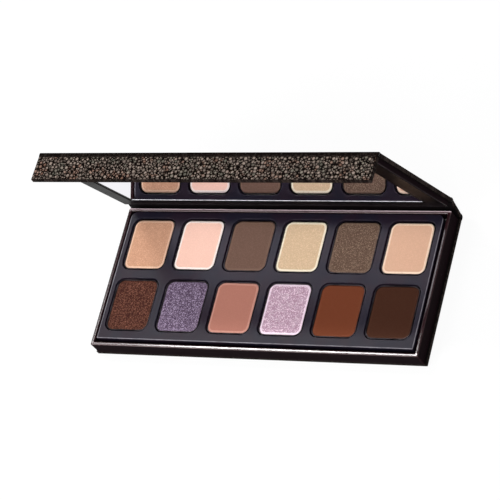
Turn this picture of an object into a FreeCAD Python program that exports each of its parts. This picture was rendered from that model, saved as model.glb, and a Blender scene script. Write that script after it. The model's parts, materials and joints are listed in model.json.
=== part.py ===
"""Twelve-pan eyeshadow palette in a book-style board case with a mirror lid and a magnetic front flap.

Frame: millimetres, X to the right, Y to the back, Z up. The origin is the centre of the closed
case's underside. The case is drawn standing open, at the three rest angles in the sheet.

Four stiff panels carry everything: base, spine, lid and flap. Each panel has a frame of its own:
local X is the model's X, local Y runs along the panel away from the fold that carries it, and
local Z points to the side that is inside when the case is closed. Local Z = 0 is mid-thickness,
so a fold's axis lies at local Y = Z = 0 of the panel that it carries.
"""
import FreeCAD, Part
import math
import os
import re
import Sketcher

QUARTER_TURN = math.pi / 2
COLUMNS = 6
ROWS = {"front": -0.5, "rear": 0.5}

SIZES = {
    # panel make-up, from the outside in
    "cover_paper": 0.3,
    "board": 1.45,
    "lining_paper": 0.15,
    "side_overhang": 1.0,
    "fold_gap": 0.1,
    # tray walls, and the play between them and the insert plate
    "wall_board": 1.2,
    "wrap_paper": 0.15,
    "moat_left": 0.3,
    "moat_right": 1.5,
    "moat_front": 2.0,
    "moat_back": 0.2,
    # insert plate round the pan windows, and the bed under it
    "margin_left": 2.2,
    "margin_right": 2.55,
    "margin_front": 4.0,
    "margin_back": 3.0,
    "pan_web": 3.45,
    "row_web": 4.2,
    "insert_corner": 3.0,
    "insert_drop": 0.6,
    "bed_thickness": 3.1,
    # pans and powders
    "pan_width": 21.0,
    "pan_length": 24.8,
    "pan_height": 3.2,
    "pan_wall": 0.3,
    "pan_corner": 3.6,
    "pan_foot": 0.6,
    "pan_gap": 0.6,
    "pan_sink": 0.5,
    "powder_drop": 0.1,
    "powder_bevel": 0.7,
    "glue_dot": 12.0,
    "glue_thickness": 0.2,
    # lid fittings
    "lid_frame_depth": 2.5,
    "mirror_border": 7.2,
    "mirror_gap": 0.2,
    "mirror_recess": 0.2,
    "mirror_tape": 0.5,
    "tape_inset": 4.0,
    # running clearances of the closed case
    "lid_gap": 0.3,
    "spine_gap": 0.5,
    "flap_gap": 0.6,
    "flap_lift": 0.3,
    # magnets in the flap and catch plates in the front wall
    "magnet_length": 12.0,
    "magnet_height": 5.0,
    "magnet_thickness": 0.9,
    "catch_thickness": 0.7,
    "magnet_slack": 0.1,
    "magnet_offset": 52.0,
    # rest angles of the panels, from lying flat behind the base
    "spine_angle": 82.2,
    "lid_angle": 103.5,
    "flap_angle": 176.9,
}

# Lengths that follow from the driving sizes: the pans make the insert plate, and that makes the case.
PANEL = "(cover_paper + board + lining_paper)"
HALF = f"({PANEL} / 2)"
WINDOW_WIDTH = "(pan_width + 2 * pan_gap)"
WINDOW_LENGTH = "(pan_length + 2 * pan_gap)"
PITCH_X = f"({WINDOW_WIDTH} + pan_web)"
PITCH_Y = f"({WINDOW_LENGTH} + row_web)"
INSERT_WIDTH = f"({COLUMNS - 1} * {PITCH_X} + {WINDOW_WIDTH} + margin_left + margin_right)"
INSERT_DEPTH = f"({PITCH_Y} + {WINDOW_LENGTH} + margin_front + margin_back)"
WALL = "(wall_board + 2 * wrap_paper)"
TRAY_WIDTH = f"({INSERT_WIDTH} + moat_left + moat_right + 2 * {WALL})"
TRAY_DEPTH = f"({INSERT_DEPTH} + moat_front + moat_back + 2 * {WALL})"
PAN_RIM = f"({PANEL} + bed_thickness + glue_thickness + pan_height)"
INSERT_TOP = f"({PAN_RIM} + pan_sink)"
RIM = f"({INSERT_TOP} + insert_drop)"
TRAY_HEIGHT = f"({RIM} - {PANEL})"
PANEL_WIDTH = f"({TRAY_WIDTH} + 2 * side_overhang)"
BASE_DEPTH = f"({TRAY_DEPTH} + spine_gap + {PANEL})"
CLOSED_HEIGHT = f"({RIM} + lid_gap + lid_frame_depth + {PANEL})"
SPINE_LENGTH = f"({CLOSED_HEIGHT} - {PANEL})"
LID_LENGTH = f"({TRAY_DEPTH} + spine_gap + flap_gap + {PANEL})"
FLAP_LENGTH = f"({CLOSED_HEIGHT} - {HALF} - flap_lift)"
FOLD_CLEAR = f"({HALF} + fold_gap)"

INSERT_X = "((moat_left - moat_right) / 2)"
TRAY_Y = f"((spine_gap + {PANEL}) / -2)"
INSERT_Y = f"({TRAY_Y} + (moat_front - moat_back) / 2)"
GRID_X = f"({INSERT_X} + (margin_left - margin_right) / 2)"
GRID_Y = f"({INSERT_Y} + (margin_front - margin_back) / 2)"
BED_TOP = f"({PANEL} + bed_thickness)"
MAGNET_LEVEL = f"({TRAY_HEIGHT} / 2)"

# Where each panel's frame lies: Y, Z and angle about X.

def next_fold(fold, length, angle):
    """The fold at the far end of a panel that stands at an angle."""
    return f"({fold[0]} + {length} * cos({angle}))", f"({fold[1]} + {length} * sin({angle}))"


FOLD_A = (f"({BASE_DEPTH} / 2 - {HALF})", HALF)
FOLD_B = next_fold(FOLD_A, SPINE_LENGTH, "spine_angle")
FOLD_C = next_fold(FOLD_B, LID_LENGTH, "lid_angle")
BASE = (f"({BASE_DEPTH} / -2)", HALF, "0")
SPINE = (*FOLD_A, "spine_angle")
LID = (*FOLD_B, "lid_angle")
FLAP = (*FOLD_C, "flap_angle")
FRONT_WALL = (f"({BASE_DEPTH} / -2 + wrap_paper + wall_board)", PANEL, "90")
LEVEL = ("0", "0", "0")

doc = FreeCAD.newDocument("EyeshadowPalette")
sheet = doc.addObject("Spreadsheet::Sheet", "sizes")


def fill_sheet():
    for row, (name, number) in enumerate(SIZES.items(), start=1):
        sheet.set(f"A{row}", name)
        sheet.set(f"B{row}", str(number))
        sheet.setAlias(f"B{row}", name)
    doc.recompute()


def bound(text):
    """An expression with the sheet's name put before each size."""
    return re.sub(r"[a-z][a-z_]+", lambda word: f"sizes.{word[0]}" if word[0] in SIZES else word[0], text)


def value(text):
    """What an expression comes to now."""
    return float(sheet.evalExpression(bound(text)))


def bind(thing, **expressions):
    """Tie properties to expressions, with a double underscore for each dot in a path."""
    for path, text in expressions.items():
        thing.setExpression(path.replace("__", "."), bound(text))


def stand(thing, frame, x="0"):
    """Place a piece in a panel's frame."""
    y, z, angle = frame
    tilt = FreeCAD.Rotation(FreeCAD.Vector(1, 0, 0), value(angle))
    thing.Placement = FreeCAD.Placement(FreeCAD.Vector(), tilt)
    if value(angle):
        bind(thing, Placement__Rotation__Angle=angle)
    bind(thing, Placement__Base__x=x, Placement__Base__y=y, Placement__Base__z=z)


# Sketches and features

def origin_plane(body, role):
    return next(plane for plane in body.Origin.OriginFeatures if plane.Role == role)


def new_body(label, frame, x="0"):
    body = doc.addObject("PartDesign::Body", label)
    body.Label = label
    stand(body, frame, x)
    return body


def new_sketch(body, x="0", y="0", z="0"):
    """A sketch parallel to the body's XY plane, with its origin at x, y, z."""
    sketch = body.newObject("Sketcher::SketchObject", "Outline")
    sketch.AttachmentSupport = [(origin_plane(body, "XY_Plane"), "")]
    sketch.MapMode = "FlatFace"
    bind(sketch, AttachmentOffset__Base__x=x, AttachmentOffset__Base__y=y, AttachmentOffset__Base__z=z)
    return sketch


def dimension(sketch, constraint, name, text):
    sketch.renameConstraint(sketch.addConstraint(constraint), name)
    bind(sketch, **{f"Constraints__{name}": text})


def add_rectangle(sketch, width, depth):
    """A rectangle centred on the sketch's origin."""
    first = sketch.GeometryCount
    half_w, half_d = value(width) / 2, value(depth) / 2
    corners = [(-half_w, -half_d), (half_w, -half_d), (half_w, half_d), (-half_w, half_d)]
    points = [FreeCAD.Vector(x, y, 0) for x, y in corners]
    for side in range(4):
        sketch.addGeometry(Part.LineSegment(points[side], points[(side + 1) % 4]))
    for side in range(4):
        sketch.addConstraint(Sketcher.Constraint("Coincident", first + side, 2, first + (side + 1) % 4, 1))
        sketch.addConstraint(Sketcher.Constraint("Vertical" if side % 2 else "Horizontal", first + side))
    sketch.addConstraint(Sketcher.Constraint("Symmetric", first, 1, first + 2, 1, -1, 1))
    dimension(sketch, Sketcher.Constraint("DistanceX", first, 1, first, 2, 2 * half_w),
              f"width_{first}", width)
    dimension(sketch, Sketcher.Constraint("DistanceY", first + 1, 1, first + 1, 2, 2 * half_d),
              f"depth_{first}", depth)


def add_rounded_rectangle(sketch, width, depth, corner):
    """A rectangle with arcs at its corners, centred on the sketch's origin."""
    first = sketch.GeometryCount
    half_w, half_d, radius = value(width) / 2, value(depth) / 2, value(corner)
    flat_w, flat_d = half_w - radius, half_d - radius
    starts = [(-flat_w, -half_d), (half_w, -flat_d), (flat_w, half_d), (-half_w, flat_d)]
    ends = [(flat_w, -half_d), (half_w, flat_d), (-flat_w, half_d), (-half_w, -flat_d)]
    centres = [(flat_w, -flat_d), (flat_w, flat_d), (-flat_w, flat_d), (-flat_w, -flat_d)]
    for side in range(4):
        start, end, centre = (FreeCAD.Vector(*spot[side], 0) for spot in (starts, ends, centres))
        circle = Part.Circle(centre, FreeCAD.Vector(0, 0, 1), radius)
        sketch.addGeometry(Part.LineSegment(start, end))
        sketch.addGeometry(Part.ArcOfCircle(circle, (side - 1) * QUARTER_TURN, side * QUARTER_TURN))
    for side in range(4):
        line, arc = first + 2 * side, first + 2 * side + 1
        following = first + 2 * ((side + 1) % 4)
        sketch.addConstraint(Sketcher.Constraint("Tangent", line, 2, arc, 1))
        sketch.addConstraint(Sketcher.Constraint("Tangent", arc, 2, following, 1))
        sketch.addConstraint(Sketcher.Constraint("Vertical" if side % 2 else "Horizontal", line))
        if side:
            sketch.addConstraint(Sketcher.Constraint("Equal", first + 1, arc))
    sketch.addConstraint(Sketcher.Constraint("Symmetric", first, 1, first + 4, 1, -1, 1))
    dimension(sketch, Sketcher.Constraint("Radius", first + 1, radius), f"corner_{first}", corner)
    dimension(sketch, Sketcher.Constraint("DistanceX", first + 6, 1, first + 2, 1, 2 * half_w),
              f"width_{first}", width)
    dimension(sketch, Sketcher.Constraint("DistanceY", first, 1, first + 4, 1, 2 * half_d),
              f"depth_{first}", depth)


def pad(body, sketch, length):
    feature = body.newObject("PartDesign::Pad", "Pad")
    feature.Profile = sketch
    bind(feature, Length=length)
    doc.recompute()
    return feature


def pocket(body, sketch, depth, upward=False):
    """Cut from the sketch into the body, downward unless told otherwise."""
    before = body.Shape.Volume
    feature = body.newObject("PartDesign::Pocket", "Pocket")
    feature.Profile = sketch
    feature.Reversed = upward
    bind(feature, Length=depth)
    doc.recompute()
    if not body.Shape.Volume < before:
        raise ValueError(f"{body.Label}: the pocket cuts nothing")
    return feature


def level_edges(shape, height):
    """Names of the edges that lie flat at one height."""
    names = []
    for number, edge in enumerate(shape.Edges, start=1):
        box = edge.BoundBox
        if abs(box.ZMin - height) < 1e-4 and abs(box.ZMax - height) < 1e-4:
            names.append(f"Edge{number}")
    return names


def slab(label, frame, width, along, through):
    """A plain board: its width, and from where to where it lies along and through the panel."""
    body = new_body(label, frame)
    sketch = new_sketch(body, y=f"({along[0]} + {along[1]}) / 2", z=through[0])
    add_rectangle(sketch, width, f"{along[1]} - {along[0]}")
    pad(body, sketch, f"{through[1]} - {through[0]}")
    return body


def block(label, size, centre, base):
    """A Part box of a given size, centred at x, y and standing on a height."""
    box = doc.addObject("Part::Box", label)
    box.Label = label
    bind(box, Length=size[0], Width=size[1], Height=size[2])
    bind(box, Placement__Base__x=f"{centre[0]} - {size[0]} / 2",
         Placement__Base__y=f"{centre[1]} - {size[1]} / 2", Placement__Base__z=base)
    return box


def group(label, members, frame=LEVEL):
    """Separate solids kept together as one sub-part."""
    compound = doc.addObject("Part::Compound", label)
    compound.Label = label
    compound.Links = members
    stand(compound, frame)
    return compound


# Panels

BOARD_FROM = f"(cover_paper - {HALF})"
BOARD_TO = f"({HALF} - lining_paper)"
SHEET_WIDTH = f"({PANEL_WIDTH} - 2 * cover_paper)"


def cover(label, frame, start, end, wrapped_start=False, wrapped_end=False):
    """Printed paper over a panel's outside, turned up along the edges that are not folds."""
    body = new_body(label, frame)
    outside = new_sketch(body, y=f"({start} + {end}) / 2", z=f"-{HALF}")
    add_rectangle(outside, PANEL_WIDTH, f"{end} - {start}")
    pad(body, outside, PANEL)
    first = f"({start} + cover_paper)" if wrapped_start else start
    last = f"({end} - cover_paper)" if wrapped_end else end
    inside = new_sketch(body, y=f"({first} + {last}) / 2", z=HALF)
    add_rectangle(inside, SHEET_WIDTH, f"{last} - {first}")
    pocket(body, inside, f"{PANEL} - cover_paper")
    return body


def magnet_recesses(body, level, face, depth):
    """Two recesses, one each side of the middle, cut into a board from its inner face."""
    sketch = new_sketch(body, x="magnet_offset", y=level, z=face)
    add_rectangle(sketch, "magnet_length + 2 * magnet_slack", "magnet_height + 2 * magnet_slack")
    recess = pocket(body, sketch, depth)
    mirrored = body.newObject("PartDesign::Mirrored", "Mirrored")
    mirrored.Originals = [recess]
    mirrored.MirrorPlane = (origin_plane(body, "YZ_Plane"), [""])
    body.Tip = mirrored
    doc.recompute()


def magnet_pair(label, frame, level, thickness, base):
    members = []
    for name, side in (("left", "-magnet_offset"), ("right", "magnet_offset")):
        size = ("magnet_length", "magnet_height", thickness)
        members.append(block(f"{label}_{name}", size, (side, level), base))
    return group(label, members, frame)


def build_base_panel():
    end = f"({BASE_DEPTH} - {HALF} - {FOLD_CLEAR})"
    return [
        cover("base_cover_paper", BASE, "0", end, wrapped_start=True),
        slab("base_board", BASE, SHEET_WIDTH, ("cover_paper", end), (BOARD_FROM, BOARD_TO)),
        slab("base_lining", BASE, SHEET_WIDTH, ("cover_paper", end), (BOARD_TO, HALF)),
    ]


def build_spine():
    span = (FOLD_CLEAR, f"({SPINE_LENGTH} - {FOLD_CLEAR})")
    return [
        cover("spine_cover_paper", SPINE, *span),
        slab("spine_board", SPINE, SHEET_WIDTH, span, (BOARD_FROM, BOARD_TO)),
        slab("spine_lining", SPINE, SHEET_WIDTH, span, (BOARD_TO, HALF)),
    ]


def build_lid_panel():
    span = (FOLD_CLEAR, f"({LID_LENGTH} - {FOLD_CLEAR})")
    return [
        cover("lid_cover_paper", LID, *span),
        slab("lid_board", LID, SHEET_WIDTH, span, (BOARD_FROM, BOARD_TO)),
        slab("lid_lining", LID, SHEET_WIDTH, span, (BOARD_TO, HALF)),
    ]


def build_flap():
    end = FLAP_LENGTH
    level = f"({FLAP_LENGTH} + flap_lift - {PANEL} - {MAGNET_LEVEL})"
    span = (FOLD_CLEAR, f"({end} - cover_paper)")
    board = slab("flap_board", FLAP, SHEET_WIDTH, span, (BOARD_FROM, BOARD_TO))
    magnet_recesses(board, level, BOARD_TO, "magnet_thickness")
    return [
        cover("flap_cover_paper", FLAP, FOLD_CLEAR, end, wrapped_end=True),
        board,
        slab("flap_lining", FLAP, SHEET_WIDTH, span, (BOARD_TO, HALF)),
        magnet_pair("flap_magnets", FLAP, level, "magnet_thickness", f"{BOARD_TO} - magnet_thickness"),
    ]


def fold_roll(label, fold):
    """The creased paper of one fold, as a roll as thick as the panels beside it."""
    roll = doc.addObject("Part::Cylinder", label)
    roll.Label = label
    roll.Placement = FreeCAD.Placement(FreeCAD.Vector(), FreeCAD.Rotation(FreeCAD.Vector(0, 1, 0), 90))
    bind(roll, Radius=HALF, Height=PANEL_WIDTH, Placement__Base__x=f"-{PANEL_WIDTH} / 2",
         Placement__Base__y=fold[0], Placement__Base__z=fold[1])
    return roll


def build_folds():
    return [
        fold_roll("base_spine_crease", FOLD_A),
        fold_roll("spine_lid_crease", FOLD_B),
        fold_roll("lid_flap_crease", FOLD_C),
    ]


# Tray

def wrap(label, frame, y, z, outside, inside, height):
    """Thin paper round a closed frame of boards: outer face, top and inner face."""
    body = new_body(label, frame)
    ring = new_sketch(body, y=y, z=z)
    add_rectangle(ring, *outside)
    add_rectangle(ring, *inside)
    pad(body, ring, height)
    hollow = new_sketch(body, y=y, z=z)
    add_rectangle(hollow, *(f"{side} - 2 * wrap_paper" for side in outside))
    add_rectangle(hollow, *(f"{side} + 2 * wrap_paper" for side in inside))
    pocket(body, hollow, f"{height} - wrap_paper", upward=True)
    return body


def build_tray():
    outside = (TRAY_WIDTH, TRAY_DEPTH)
    inside = tuple(f"({side} - 2 * {WALL})" for side in outside)
    long_wall = f"({TRAY_WIDTH} - 2 * wrap_paper)"
    height = f"({TRAY_HEIGHT} - wrap_paper)"
    across = f"(({TRAY_WIDTH} - {WALL}) / 2)"
    front = slab("tray_front_wall", FRONT_WALL, long_wall, ("0", height), ("0", "wall_board"))
    magnet_recesses(front, MAGNET_LEVEL, "wall_board", "catch_thickness")
    side = ("wall_board", f"({TRAY_DEPTH} - 2 * (wrap_paper + wall_board))", height)
    back_y = f"({TRAY_Y} + ({TRAY_DEPTH} - {WALL}) / 2)"
    return [
        front,
        block("tray_back_wall", (long_wall, "wall_board", height), ("0", back_y), PANEL),
        block("tray_left_wall", side, (f"-{across}", TRAY_Y), PANEL),
        block("tray_right_wall", side, (across, TRAY_Y), PANEL),
        wrap("tray_wrap_paper", LEVEL, TRAY_Y, PANEL, outside, inside, TRAY_HEIGHT),
        magnet_pair("catch_plates", FRONT_WALL, MAGNET_LEVEL, "catch_thickness",
                    "wall_board - catch_thickness"),
    ]


# Insert plate, pans and powders

def pan_place(column, row):
    """Centre of one pan, in X and Y."""
    x = f"({GRID_X} + {column - (COLUMNS - 1) / 2} * {PITCH_X})"
    y = f"({GRID_Y} + {ROWS[row]} * {PITCH_Y})"
    return x, y


def build_insert():
    body = new_body("insert_plate", LEVEL)
    plate = new_sketch(body, x=INSERT_X, y=INSERT_Y, z=BED_TOP)
    add_rounded_rectangle(plate, INSERT_WIDTH, INSERT_DEPTH, "insert_corner")
    pad(body, plate, f"{INSERT_TOP} - {BED_TOP}")
    for row in ROWS:
        x, y = pan_place(0, row)
        window = new_sketch(body, x=x, y=y, z=INSERT_TOP)
        add_rounded_rectangle(window, WINDOW_WIDTH, WINDOW_LENGTH, "pan_corner + pan_gap")
        first = pocket(body, window, f"{INSERT_TOP} - {BED_TOP}")
        windows = body.newObject("PartDesign::LinearPattern", "Windows")
        windows.Originals = [first]
        windows.Direction = (window, ["H_Axis"])
        windows.Occurrences = COLUMNS
        bind(windows, Length=f"{COLUMNS - 1} * {PITCH_X}")
        body.Tip = windows
        doc.recompute()
    return body


def build_pan(label, x, y):
    """A drawn tin pan with a rounded foot."""
    body = new_body(label, (y, f"({BED_TOP} + glue_thickness)", "0"), x)
    outside = new_sketch(body)
    add_rounded_rectangle(outside, "pan_width", "pan_length", "pan_corner")
    wall = pad(body, outside, "pan_height")
    foot = body.newObject("PartDesign::Fillet", "Foot")
    foot.Base = (wall, level_edges(wall.Shape, 0.0))
    bind(foot, Radius="pan_foot")
    doc.recompute()
    inside = new_sketch(body, z="pan_height")
    add_rounded_rectangle(inside, "pan_width - 2 * pan_wall", "pan_length - 2 * pan_wall",
                          "pan_corner - pan_wall")
    pocket(body, inside, "pan_height - pan_wall")
    return body


def build_powder(label, x, y):
    """A pressed cake that fills its pan, with bevelled top edges."""
    body = new_body(label, (y, f"({BED_TOP} + glue_thickness + pan_wall)", "0"), x)
    height = "(pan_height - pan_wall - powder_drop)"
    outline = new_sketch(body)
    add_rounded_rectangle(outline, "pan_width - 2 * pan_wall", "pan_length - 2 * pan_wall",
                          "pan_corner - pan_wall")
    cake = pad(body, outline, height)
    bevel = body.newObject("PartDesign::Chamfer", "Bevel")
    bevel.Base = (cake, level_edges(cake.Shape, value(height)))
    bevel.ChamferType = "Two distances"
    bind(bevel, Size="powder_bevel / 2", Size2="powder_bevel")
    doc.recompute()
    return body


def glue_dot(number, x, y):
    dot = doc.addObject("Part::Cylinder", f"glue_dot_{number}")
    dot.Label = f"glue_dot_{number}"
    bind(dot, Radius="glue_dot / 2", Height="glue_thickness", Placement__Base__x=x, Placement__Base__y=y,
         Placement__Base__z=BED_TOP)
    return dot


def build_pans():
    pieces, dots = [], []
    for row in ROWS:
        for column in range(COLUMNS):
            x, y = pan_place(column, row)
            pieces.append(build_pan(f"pan_{row}_{column + 1}", x, y))
            pieces.append(build_powder(f"powder_{row}_{column + 1}", x, y))
            dots.append(glue_dot(len(dots) + 1, x, y))
    bed = block("pan_bed", (INSERT_WIDTH, INSERT_DEPTH, "bed_thickness"), (INSERT_X, INSERT_Y), PANEL)
    return [bed, group("glue_dots", dots)] + pieces


# Lid fittings

def build_mirror():
    """The lid's window frame, its paper, and the mirror glass stuck down inside it."""
    middle = f"({HALF} + spine_gap + {TRAY_DEPTH} / 2)"
    outside = (TRAY_WIDTH, TRAY_DEPTH)
    window = tuple(f"({side} - 2 * mirror_border)" for side in outside)
    frame = new_body("lid_frame", LID)
    ring = new_sketch(frame, y=middle, z=HALF)
    add_rectangle(ring, *(f"{side} - 2 * wrap_paper" for side in outside))
    add_rectangle(ring, *(f"{side} + 2 * wrap_paper" for side in window))
    pad(frame, ring, "lid_frame_depth - wrap_paper")
    paper = wrap("lid_frame_paper", LID, middle, HALF, outside, window, "lid_frame_depth")
    glass = tuple(f"({side} - 2 * mirror_gap)" for side in window)
    tape = new_body("mirror_tape", LID)
    outline = new_sketch(tape, y=middle, z=HALF)
    add_rectangle(outline, *(f"{side} - 2 * tape_inset" for side in glass))
    pad(tape, outline, "mirror_tape")
    mirror = new_body("mirror", LID)
    outline = new_sketch(mirror, y=middle, z=f"({HALF} + mirror_tape)")
    add_rectangle(outline, *glass)
    pad(mirror, outline, "lid_frame_depth - mirror_recess - mirror_tape")
    return [frame, paper, tape, mirror]


# Checks and files

def check_document():
    doc.recompute()
    for thing in doc.Objects:
        if {"Invalid", "Error"} & set(thing.State):
            raise ValueError(f"{thing.Label} failed: {thing.State}")


def write(pieces):
    for piece in pieces:
        if piece.Shape.isNull() or not piece.Shape.isValid():
            raise ValueError(f"{piece.Label} has no valid shape")
    os.makedirs("parts", exist_ok=True)
    for piece in pieces:
        piece.Shape.exportStep(os.path.join("parts", f"{piece.Label}.step"))
        print(f"{piece.Label:20s} {len(piece.Shape.Solids):3d} solids {piece.Shape.Volume:10.2f} mm3")


fill_sheet()
palette = build_base_panel() + build_tray() + [build_insert()] + build_pans()
palette += build_spine() + build_lid_panel() + build_mirror() + build_flap() + build_folds()
check_document()
write(palette)
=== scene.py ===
"""Looks for a twelve-pan eyeshadow palette in a book-style board case.

Every piece is modelled in the CAD frame, in metres. A panel is the base, spine, lid or flap. In a
panel's own frame X is the model's X, Y runs along the panel away from the fold that carries it,
and Z points to the side that is inside when the case is closed.
"""
from collections import namedtuple
import json
import math

import bmesh
import bpy
from bpy.props import FloatProperty, FloatVectorProperty, PointerProperty
from mathutils import Matrix, Vector, noise


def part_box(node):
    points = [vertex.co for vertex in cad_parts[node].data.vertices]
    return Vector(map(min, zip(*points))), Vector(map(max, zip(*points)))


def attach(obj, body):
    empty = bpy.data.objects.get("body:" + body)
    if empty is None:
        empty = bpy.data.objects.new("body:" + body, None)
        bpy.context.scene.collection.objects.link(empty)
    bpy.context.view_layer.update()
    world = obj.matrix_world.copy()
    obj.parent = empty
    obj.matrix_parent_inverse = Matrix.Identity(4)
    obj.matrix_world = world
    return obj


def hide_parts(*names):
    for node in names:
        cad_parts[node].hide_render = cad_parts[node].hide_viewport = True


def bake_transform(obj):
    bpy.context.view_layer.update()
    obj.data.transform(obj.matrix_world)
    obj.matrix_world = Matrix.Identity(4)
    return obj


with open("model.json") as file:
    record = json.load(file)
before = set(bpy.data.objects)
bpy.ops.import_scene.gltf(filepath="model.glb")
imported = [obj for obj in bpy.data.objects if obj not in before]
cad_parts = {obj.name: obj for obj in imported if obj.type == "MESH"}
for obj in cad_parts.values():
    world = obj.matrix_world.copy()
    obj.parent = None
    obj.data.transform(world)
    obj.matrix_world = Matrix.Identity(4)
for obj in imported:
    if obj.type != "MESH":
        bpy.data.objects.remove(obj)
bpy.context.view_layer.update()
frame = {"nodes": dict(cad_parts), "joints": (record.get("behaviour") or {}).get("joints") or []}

bl_info = {
    "name": "Eyeshadow palette",
    "version": (1, 0, 0),
    "blender": (4, 5, 0),
    "location": "View3D > Sidebar > Palette",
    "description": "Builds the visible pieces and finishes of an eyeshadow palette",
    "category": "Object",
}

MM = 0.001
TINY = 1e-6
X_AXIS, Y_AXIS, Z_AXIS = (Vector(row) for row in Matrix.Identity(3))
ROWS = ("rear", "front")
COLUMNS = range(1, 7)
PLACES = [(row, column) for row in ROWS for column in COLUMNS]
NODES = frame["nodes"]
JOINTS = {joint["name"]: joint for joint in frame["joints"]}


def srgb(red, green, blue):
    """Linear colour for red, green and blue written from 0 to 255."""
    shares = (part / 255 for part in (red, green, blue))
    return tuple(s / 12.92 if s <= 0.04045 else ((s + 0.055) / 1.055) ** 2.4 for s in shares)


# Panels and folds

SPINE_ANGLE = -math.radians(JOINTS["spine_fold"]["range_deg"][0])
LID_ANGLE = SPINE_ANGLE - math.radians(JOINTS["lid_fold"]["range_deg"][0])
FLAP_ANGLE = LID_ANGLE - math.radians(JOINTS["flap_fold"]["range_deg"][0])
FOLD_A, FOLD_B, FOLD_C = (Vector(JOINTS[name]["pos_m"])
                          for name in ("spine_fold", "lid_fold", "flap_fold"))
HALF = FOLD_A.z  # half of a panel's thickness


def panel_frame(origin, angle):
    return Matrix.Translation(origin) @ Matrix.Rotation(angle, 4, "X")


PANELS = {
    "base": panel_frame((0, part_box("base_cover_paper")[0].y, HALF), 0),
    "spine": panel_frame(FOLD_A, SPINE_ANGLE),
    "lid": panel_frame(FOLD_B, LID_ANGLE),
    "flap": panel_frame(FOLD_C, FLAP_ANGLE),
}
LEVEL = Matrix.Identity(4)


def extent(node, panel=LEVEL):
    """Lowest and highest corner of a CAD node in a panel's frame."""
    turned = panel.inverted()
    spots = [turned @ vertex.co for vertex in NODES[node].data.vertices]
    return Vector(map(min, zip(*spots))), Vector(map(max, zip(*spots)))


CASE_SIDE = extent("spine_cover_paper")[1].x * X_AXIS


# Sizes and colours that a user would change

def length(name, description, default):
    return FloatProperty(name=name, description=description, default=default * MM, min=0,
                         unit="LENGTH", precision=5)


def colour(name, description, default):
    return FloatVectorProperty(name=name, description=description, default=srgb(*default), size=3,
                               min=0, max=1, subtype="COLOR")


def power(name, description, default):
    return FloatProperty(name=name, description=description, default=default, min=0,
                         subtype="POWER", unit="POWER")


class CoverSettings(bpy.types.PropertyGroup):
    edge_radius: length("Edge radius", "Rounding of the case's papered edges", 0.35)
    paper: length("Paper", "Thickness of the printed paper", 0.3)
    pebble_size: length("Pebble size", "Pitch of the large pebbles in the print", 2.15)
    pebble_colour: colour("Pebbles", "Colour of the printed pebbles", (122, 110, 102))
    ground_colour: colour("Ground", "Colour between the pebbles", (10, 6, 5))
    warm_tint: colour("Warm tint", "Colour of the warm patches", (124, 80, 60))
    cool_tint: colour("Cool tint", "Colour of the cool patches", (74, 88, 76))


class TraySettings(bpy.types.PropertyGroup):
    edge_radius: length("Rim radius", "Rounding of the tray's papered rim", 0.42)
    paper: length("Wrap paper", "Thickness of the wrap and lining papers", 0.15)
    wrap_colour: colour("Wrap", "Colour of the paper round the tray", (19, 11, 14))
    frame_colour: colour("Mirror frame", "Colour of the gloss paper round the mirror", (5, 4, 5))
    lining_colour: colour("Lining", "Colour of the lining paper", (13, 10, 11))
    board_colour: colour("Board", "Colour of the grey board", (150, 148, 142))


class InsertSettings(bpy.types.PropertyGroup):
    pan_gap: length("Pan gap", "Play between a pan and its window", 0.6)
    window_corner: length("Window corner", "Corner radius of a pan window", 4.2)
    rear_corner: length("Rear corner", "Radius of the plate's rear corners", 3.0)
    front_corner: length("Front corner", "Radius of the plate's front corners", 0.6)
    lip_radius: length("Lip radius", "Rounding of the plate's upper edges", 0.2)
    # The edge line is a painted highlight along the plate's front and sides.
    edge_line: length("Edge line", "Width of the pale line along the plate's front and sides", 0.45)
    plate_colour: colour("Plate", "Colour of the insert plate", (29, 23, 34))
    tin_colour: colour("Tin", "Colour of the metal pans", (34, 31, 33))


class MirrorSettings(bpy.types.PropertyGroup):
    silver_depth: length("Silver depth", "How deep the silvering seems to lie in the glass", 0.12)
    ground_edge: length("Ground edge", "Width of the glass's ground edge", 0.25)
    # The black margin at each end of the glass is a painted shade in place of the shadowed gap by
    # the frame.
    painted_shade_margin: length("Side margin", "Width of the black margin at each end of the glass", 0.85)
    silver_tint: colour("Silver", "Tint of the mirror", (238, 236, 242))
    edge_colour: colour("Edge", "Colour of the ground glass edge", (225, 226, 232))


class StageSettings(bpy.types.PropertyGroup):
    floor_colour: colour("Floor", "Colour of the floor", (246, 246, 247))
    key_power: power("Front rim card", "Power of the card that lights up the front rim", 4.5)
    side_power: power("Left card", "Power of the soft card in front on the left", 9.0)
    card_power: power("Rim card", "Power of the card for the left of the front rim", 0.4)
    fill_power: power("Softbox", "Power of the large front softbox", 9.2)
    world_strength: FloatProperty(name="Room light", description="Even light from all round",
                                  default=0.5, min=0)
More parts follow.
